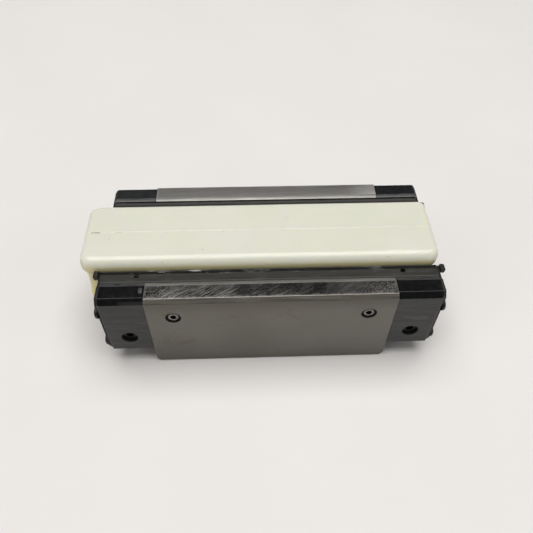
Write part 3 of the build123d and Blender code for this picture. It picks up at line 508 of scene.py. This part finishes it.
M = {
    "side": steel_side(), "skirt": steel_skirt(), "land": steel_land(), "cap_land": cap_land(), "chamfer": steel_chamfer(), "ground": steel_ground(),
    "inner": steel_inner(), "gloss": cap_gloss(), "matte": cap_matte(), "cap_inner": cap_inner(),
    "strip": rubber_strip(), "seal": rubber_seal(), "plate": plate_black(), "screw": screw_black(),
    "set_screw": set_screw_grey(), "recess": black_recess(), "plug": plug_black(), "ivory": ivory(),
    "ball": simple("ball_chrome", (0.62, 0.62, 0.63), (0.70, 0.70, 0.71), 400.0, 0.12, 1.0),
    "tube": simple("tube_natural", (0.66, 0.65, 0.58), (0.74, 0.73, 0.66), 300.0, 0.42),
    "guide": simple("guide_plastic", (0.020, 0.020, 0.021), (0.032, 0.032, 0.033), 900.0, 0.5),
    "gasket": simple("gasket_rubber", (0.012, 0.012, 0.012), (0.02, 0.02, 0.02), 900.0, 0.6),
    "retainer": simple("retainer_sheet", (0.36, 0.355, 0.345), (0.46, 0.455, 0.445), 700.0, 0.3, 1.0),
}

INNER = {
    "balls": "ball", "return_tube": "tube", "return_guide": "guide", "lube_gasket": "gasket",
    "retainer_upper": "retainer", "retainer_middle": "guide", "retainer_floor": "guide",
}


# ------------------------------------------------------------------ pieces
def clean_mesh(node, name, limit=0.6):
    """A copy of a CAD node's mesh with welded points and whole flat faces."""
    me = nodes[node].data.copy()
    me.name = name
    bm = bmesh.new()
    bm.from_mesh(me)
    bmesh.ops.remove_doubles(bm, verts=bm.verts, dist=2e-6)
    bmesh.ops.dissolve_limit(bm, angle_limit=math.radians(limit), verts=bm.verts, edges=bm.edges)
    bmesh.ops.recalc_face_normals(bm, faces=bm.faces)
    bm.to_mesh(me)
    bm.free()
    if me.has_custom_normals:
        me.free_custom_normals() if hasattr(me, "free_custom_normals") else None
    me.materials.clear()
    return me


def soften(ob, width, segs, angle):
    """Rounds the sharp edges, and leaves sharp those few where the rounding would run past its neighbours."""
    me = ob.data
    bm = bmesh.new()
    bm.from_mesh(me)
    tree = BVHTree.FromBMesh(bm)
    weight = [1.0 if len(e.link_faces) == 2 and e.calc_face_angle(0.0) > math.radians(angle) else 0.0 for e in bm.edges]
    ends = [(e.verts[0].co.copy(), e.verts[1].co.copy()) for e in bm.edges]
    lo = [min(v.co[a] for v in bm.verts) for a in range(3)]
    hi = [max(v.co[a] for v in bm.verts) for a in range(3)]
    bm.free()
    attr = me.attributes.new("bevel_weight_edge", "FLOAT", "EDGE")
    b = ob.modifiers.new("edges", "BEVEL")
    b.width = width
    b.segments = segs
    b.limit_method = "WEIGHT"
    b.use_clamp_overlap = False
    b.miter_outer = "MITER_ARC"
    for k in range(8):
        attr.data.foreach_set("value", weight)
        me.update()
        ob.update_tag()
        bpy.context.view_layer.update()
        seen = ob.evaluated_get(bpy.context.evaluated_depsgraph_get())
        far = [v.co.copy() for v in seen.to_mesh().vertices
               if tree.find_nearest(v.co)[3] > 0.6 * width or any(v.co[a] < lo[a] - 4e-6 or v.co[a] > hi[a] + 4e-6 for a in range(3))]
        seen.to_mesh_clear()
        if not far:
            break
        reach = 0.0003 * (k + 1)
        for n, (p, q) in enumerate(ends):
            if weight[n] and any(near_segment(c, p, q) < reach for c in far):
                weight[n] = 0.0
    w = ob.modifiers.new("even_shading", "WEIGHTED_NORMAL")
    w.mode = "FACE_AREA"
    w.weight = 95
    w.thresh = 0.001


def near_segment(c, p, q):
    d = q - p
    t = max(0.0, min(1.0, (c - p).dot(d) / max(d.length_squared, 1e-18)))
    return (p + d * t - c).length


def piece(name, me, body, bevel=None, segs=2, angle=30, replaces=()):
    ob = bpy.data.objects.new(name, me)
    scene.collection.objects.link(ob)
    for p in me.polygons:
        p.use_smooth = True
    if bevel:
        soften(ob, bevel, segs, angle)
    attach(ob, body)
    if replaces:
        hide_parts(*replaces)
    return ob


def paint(ob, keys, rule):
    """Gives each face one of the named materials; rule(centre in mm, normal) returns its key."""
    me = ob.data
    me.materials.clear()
    for k in keys:
        me.materials.append(M[k])
    for p in me.polygons:
        p.material_index = keys.index(rule(p.center / MM, p.normal))


def block_rule(c, n):
    ay, az = abs(c.y), c.z
    if 29.9 < ay < 32.5 and az > 55.3 and n.z > 0.9:
        return "land"
    if abs(n.y) > 0.97 and ay > 42.9:
        return "side"
    if n.z > 0.97 and az > 56.0:
        return "skirt"
    if 0.3 < abs(n.y) < 0.95 and (az > 54.2 and ay > 30.0 or az < 1.2 and ay > 41):
        return "chamfer"
    # painted shade in the set screw counterbores
    if ay > 38.5 and abs(abs(c.x) - 50.8) < 4.6 and abs(c.z - 42.3) < 4.6:
        return "recess"
    if n.z < -0.97 and az < 0.2 or abs(n.x) > 0.9 and abs(c.x) > 64.3 or az < 4.8 and abs(c.x) > 61.4:
        return "ground"
    return "inner"


block = piece("block", clean_mesh("carriage_block", "block"), "carriage", 0.00022, 2, 32, ("carriage_block",))
paint(block, ["side", "skirt", "land", "chamfer", "ground", "inner", "recess"], block_rule)


def cap_rule(c, n):
    ay, az = abs(c.y), c.z
    if 29.9 < ay < 32.5 and az > 55.3 and n.z > 0.9:
        return "cap_land"
    if abs(n.y) > 0.93 and ay > 42.3:
        return "matte"
    if az > 52.9 and ay > 21 or n.z > 0.5 and az > 53 or 0.3 < abs(n.y) < 0.95 and az > 53:
        return "gloss"
    if n.z < -0.4 and az < 16:
        return "matte"
    # painted shade in the side port mouths
    if 34 < ay < 42.48 and abs(abs(c.x) - 76.2) < 4.6 and abs(az - 24.3) < 4.6:
        return "recess"
    return "cap_inner"


def countersink(me, side, depth=0.00045, grow=0.00045):
    """Opens the mouths of the two side ports of an end cap with a short cone."""
    cap_lo, cap_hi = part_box("end_cap_" + side)
    plug_lo, plug_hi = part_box("port_plugs_" + side)
    cx, cz = (plug_lo.x + plug_hi.x) / 2, (plug_lo.z + plug_hi.z) / 2
    wall = (plug_hi.x - plug_lo.x) / 2 + 0.00005

    def radius(co):
        return math.hypot(co.x - cx, co.z - cz)

    bm = bmesh.new()
    bm.from_mesh(me)
    for sy in (-1, 1):
        faces = [f for f in bm.faces if all(abs(radius(v.co) - wall) < 0.0001 and sy * v.co.y > 0 for v in f.verts)
                 and any(abs(sy * v.co.y - cap_hi.y) < 0.00002 for v in f.verts)
                 and any(sy * v.co.y < cap_hi.y - depth for v in f.verts)]
        geom = list({v for f in faces for v in f.verts}) + list({e for f in faces for e in f.edges}) + faces
        bmesh.ops.bisect_plane(bm, geom=geom, plane_co=(0, sy * (cap_hi.y - depth), 0), plane_no=(0, 1, 0), dist=1e-7)
        for v in bm.verts:
            if abs(sy * v.co.y - cap_hi.y) < 0.00002 and abs(radius(v.co) - wall) < 0.0001:
                k = (wall + grow) / radius(v.co)
                v.co.x, v.co.z = cx + (v.co.x - cx) * k, cz + (v.co.z - cz) * k
    bm.normal_update()
    bm.to_mesh(me)
    bm.free()
    return me


for side in ("left", "right"):
    cap = piece("cap_" + side, countersink(clean_mesh("end_cap_" + side, "cap_" + side), side), "carriage", 0.00025, 2, 32, ("end_cap_" + side,))
    paint(cap, ["gloss", "matte", "cap_land", "cap_inner", "recess"], cap_rule)
    plate = piece("plate_" + side, clean_mesh("end_plate_" + side, "plate_" + side), "carriage", 0.00012, 2, 32, ("end_plate_" + side,))
    paint(plate, ["plate"], lambda c, n: "plate")
    seal_mesh = clean_mesh("end_seal_" + side, "seal_" + side)
    for v in seal_mesh.vertices:
        if v.co.y > 0.022 and v.co.z > 0.0545:
            v.co.z = 0.0545 + (v.co.z - 0.0545) * 0.10
    seal = piece("seal_" + side, seal_mesh, "carriage", 0.00028, 3, 25, ("end_seal_" + side,))
    paint(seal, ["seal"], lambda c, n: "seal")
    scr = piece("screws_" + side, clean_mesh("cap_screws_" + side, "screws_" + side), "carriage", 0.00010, 2, 35, ("cap_screws_" + side,))
    paint(scr, ["screw", "recess"], lambda c, n: "screw")
    plug = piece("plugs_" + side, clean_mesh("port_plugs_" + side, "plugs_" + side), "carriage", 0.00012, 2, 35, ("port_plugs_" + side,))
    paint(plug, ["plug"], lambda c, n: "plug")

for side in ("near", "far"):
    strip = piece("strip_" + side, clean_mesh("side_seal_" + side, "strip_" + side), "carriage", 0.00010, 2, 25, ("side_seal_" + side,))
    paint(strip, ["strip"], lambda c, n: "strip")
    ss = piece("set_screws_" + side, clean_mesh("side_screws_" + side, "set_screws_" + side), "carriage", 0.00010, 2, 35, ("side_screws_" + side,))

    def ss_rule(c, n):
        r = math.hypot(abs(c.x) - 50.8, c.z - 42.3)
        # painted shade in the hex sockets
        return "recess" if r < 1.75 and abs(c.y) < 42.3 else "set_screw"
    paint(ss, ["set_screw", "recess"], ss_rule)


# shipping rail: section lofted along X, ends rounded over, faces very slightly uneven
def shipping_rail():
    lo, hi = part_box("dummy_rail")
    x0, x1, top, half, bot = lo.x / MM, hi.x / MM, hi.z / MM, hi.y / MM, lo.z / MM
    r, waist, flank, r_end, r_plan = 5.8, 17.4, 32.685, 4.2, 6.5
    pts = [(0.0, top), (0.2, top), (0.5, top)] + [(i * (half - r) / 9, top) for i in range(1, 9)]
    for i in range(15):
        a = math.pi / 2 * i / 14
        pts.append((half - r + r * math.sin(a), top - r + r * math.cos(a)))
    pts += [(half, 55.9), (half, 54.9), (half - 0.3, half - 0.3 + flank), (half - 1.6, half - 1.6 + flank), (waist + 0.6, waist + 0.6 + flank),
            (waist + 0.05, waist + flank - 0.5)]
    pts += [(waist, z) for z in (48, 46, 43.5, 41, 39)]
    pts += [(waist + 0.05, 87 - waist - flank + 0.5), (waist + 0.6, 87 - waist - 0.6 - flank), (half - 1.6, 87 - half + 1.6 - flank),
            (half - 0.35, 87 - half - flank + 0.35), (half - 0.5, bot + 0.35), (half - 0.95, bot)]
    pts += [(i * 3.4, bot) for i in range(6, 0, -1)]
    ring = pts + [(0.0, bot)] + [(-y, z) for (y, z) in reversed(pts[1:])]
    n = len(ring)
    xm, hx = (x0 + x1) / 2, (x1 - x0) / 2

    def corner(x, y):
        """Plan corner radius; one corner is tighter."""
        return 4.3 if x > xm and y > 0 else r_plan

    def inside(x, y):
        """Distance in from the rounded plan outline."""
        rc = corner(x, y)
        qx, qy = abs(x - xm) - (hx - rc), abs(y) - (half - rc)
        return rc - math.hypot(max(qx, 0), max(qy, 0)) - min(max(qx, qy), 0)

    ts = [0.0, 0.08, 0.25, 0.5, 0.85, 1.3, 1.9, 2.6, 3.4, 4.3, 5.3, 6.5, 8.0]
    k = 52
    xs = [x0 + t for t in ts] + [x0 + 8 + (x1 - x0 - 16) * i / k for i in range(1, k)] + [x1 - t for t in reversed(ts)]
    bm = bmesh.new()
    rows = []
    for x in xs:
        row = []
        for y, z in ring:
            rc = corner(x, y)
            t = min(min(x - x0, x1 - x), rc)
            lim = half - rc + math.sqrt(rc ** 2 - (rc - t) ** 2)
            yy = y * lim / half
            d = min(max(inside(x, yy), 0.0), r_end)
            cover = top - r_end + math.sqrt(r_end ** 2 - (r_end - d) ** 2)
            # rounded meeting of the section with the end rounding
            h = max(0.0, 1.0 - abs(z - cover) / 1.4)
            zz = min(z, cover) - h * h * 0.35 if z > 57.5 else min(z, cover)
            # sink marks and a faint waviness of the top
            up = max(0.0, min(1.0, (z - 57.0) / 5.0))
            wob = noise.noise(Vector((x * 0.026, y * 0.06, 3.7))) * 0.10 + noise.noise(Vector((x * 0.10, y * 0.15, 9.1))) * 0.020
            zz += up * (wob - 0.13)
            if abs(y) < 0.3 and z > 60:
                zz += 0.045 * max(0.0, min(1.0, (d - r_end + 0.3) / 0.3))
            row.append(bm.verts.new((x * MM, yy * MM, min(zz, top) * MM)))
        rows.append(row)
    for a, b in zip(rows, rows[1:]):
        for i in range(n):
            bm.faces.new((a[i], a[(i + 1) % n], b[(i + 1) % n], b[i]))
    bm.faces.new(rows[0])
    bm.faces.new(list(reversed(rows[-1])))
    bmesh.ops.recalc_face_normals(bm, faces=bm.faces)
    me = bpy.data.meshes.new("shipping_rail")
    bm.to_mesh(me)
    bm.free()
    ob = piece("shipping_rail", me, "shipping_rail", replaces=("dummy_rail",))
    for e in me.polygons:
        e.use_smooth = abs(e.normal.x) < 0.985
    me.materials.append(M["ivory"])
    return ob


rail = shipping_rail()


def port_threads(side, sx):
    """Thread ridges in the mouths of the two side ports of one end cap."""
    cap_lo, cap_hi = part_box("end_cap_" + side)
    plug_lo, plug_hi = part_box("port_plugs_" + side)
    cx, cz = (plug_lo.x + plug_hi.x) / 2, (plug_lo.z + plug_hi.z) / 2
    wall = (plug_hi.x - plug_lo.x) / 2 + 0.00005
    depth = cap_hi.y - plug_hi.y
    pitch, height, seg = 0.0008, 0.00038, 40
    bm = bmesh.new()
    for sy in (-1, 1):
        turns = (depth - 0.0009) / pitch
        count = int(turns * seg)
        rows = []
        for i in range(count + 1):
            a = 2 * math.pi * i / seg
            inn = cap_hi.y - 0.00085 - pitch * i / seg
            fade = min(1.0, i / (seg * 0.35), (count - i) / (seg * 0.25) + 0.02)
            row = []
            for dy, dr in ((-0.00034, -0.00006), (-0.00010, height * fade), (0.00010, height * fade), (0.00034, -0.00006)):
                r = wall - max(dr, -0.00002)
                row.append(bm.verts.new((cx + r * math.cos(a), sy * min(inn + dy, cap_hi.y - 0.00002), cz + r * math.sin(a))))
            rows.append(row)
        for p, q in zip(rows, rows[1:]):
            for j in range(4):
                k = (j + 1) % 4
                bm.faces.new((p[j], q[j], q[k], p[k]))
        bm.faces.new(rows[0])
        bm.faces.new(list(reversed(rows[-1])))
    bmesh.ops.recalc_face_normals(bm, faces=bm.faces)
    me = bpy.data.meshes.new("port_threads_" + side)
    bm.to_mesh(me)
    bm.free()
    ob = piece("port_threads_" + side, me, "carriage")
    # painted shade on the thread ridges in the port mouth
    me.materials.append(M["recess"])


port_threads("left", -1)
port_threads("right", 1)


def cap_peg():
    """Small light grey moulded peg on the near end of the left cap, beside the block."""
    block_lo, block_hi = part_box("carriage_block")
    cx, cy, top = block_lo.x - 0.0018, -0.0354, block_hi.z
    bm = bmesh.new()
    loops = []
    for hx, hy, z in ((0.00105, 0.00185, top - 0.0006), (0.00105, 0.00185, top + 0.00012), (0.00090, 0.00170, top + 0.00026), (0.00055, 0.00130, top + 0.00030)):
        loop = []
        for i in range(28):
            a = 2 * math.pi * i / 28
            ca, sa = math.cos(a), math.sin(a)
            loop.append(bm.verts.new((cx + hx * math.copysign(abs(ca) ** 0.55, ca), cy + hy * math.copysign(abs(sa) ** 0.45, sa), z)))
        loops.append(loop)
    for p, q in zip(loops, loops[1:]):
        for i in range(28):
            bm.faces.new((p[i], p[(i + 1) % 28], q[(i + 1) % 28], q[i]))
    bm.faces.new(loops[-1])
    bm.faces.new(list(reversed(loops[0])))
    bmesh.ops.recalc_face_normals(bm, faces=bm.faces)
    me = bpy.data.meshes.new("cap_peg")
    bm.to_mesh(me)
    bm.free()
    ob = piece("cap_peg", me, "carriage")
    me.materials.append(simple("peg_grey", (0.024, 0.024, 0.026), (0.048, 0.048, 0.051), 900.0, 0.5))


cap_peg()

# ------------------------------------------------------------------ CAD nodes that stay
for name, ob in nodes.items():
    for key, m in INNER.items():
        if name.startswith(key):
            ob.data.materials.clear()
            ob.data.materials.append(M[m])


# ------------------------------------------------------------------ stage
def floor():
    m = Mat("floor_white", rough=0.6, Specular_IOR_Level=0.2)
    n = m.noise(9.0, 3.0, 0.5)
    m.color(m.mix(m.range(n, 0.35, 0.7), (0.775, 0.755, 0.738), (0.792, 0.772, 0.755)))
    bm = bmesh.new()
    bmesh.ops.create_grid(bm, x_segments=2, y_segments=2, size=3.0)
    me = bpy.data.meshes.new("floor")
    bm.to_mesh(me)
    bm.free()
    ob = bpy.data.objects.new("floor", me)
    scene.collection.objects.link(ob)
    me.materials.append(m.m)
    ob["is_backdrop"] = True


floor()


def area(name, loc, target, size, size_y, energy, color=(1, 1, 1)):
    li = bpy.data.lights.new(name, "AREA")
    li.shape = "RECTANGLE"
    li.size, li.size_y = size, size_y
    li.energy = energy
    li.color = color
    ob = bpy.data.objects.new(name, li)
    ob.location = loc
    d = Vector(target) - Vector(loc)
    ob.rotation_euler = d.to_track_quat("-Z", "Y").to_euler()
    scene.collection.objects.link(ob)


area("overhead", (0.0, 0.14, 2.70), (0, 0.05, 0), 2.6, 2.2, 78.0, (1.0, 0.992, 0.98))
area("front_left", (-2.3, -1.2, 1.7), (0, 0, 0), 1.9, 1.4, 10.5, (1.0, 0.99, 0.98))
area("front_right", (2.3, -1.2, 1.7), (0, 0, 0), 1.9, 1.4, 10.5, (1.0, 0.99, 0.98))

world = bpy.data.worlds.new("world")
scene.world = world
world.use_nodes = True
world.node_tree.nodes["Background"].inputs["Color"].default_value = (1.0, 0.985, 0.97, 1)
world.node_tree.nodes["Background"].inputs["Strength"].default_value = 0.11
scene.view_settings.view_transform = "Standard"
scene.view_settings.look = "None"
scene.view_settings.exposure = 0.0
scene.view_settings.gamma = 1.0


def plain(b):
    return [[float(v) for v in c] for c in b] if hasattr(b[0], "__len__") else [float(v) for v in b]


{"cad": plain(CAD_BOUNDS), "visual": plain(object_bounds())}
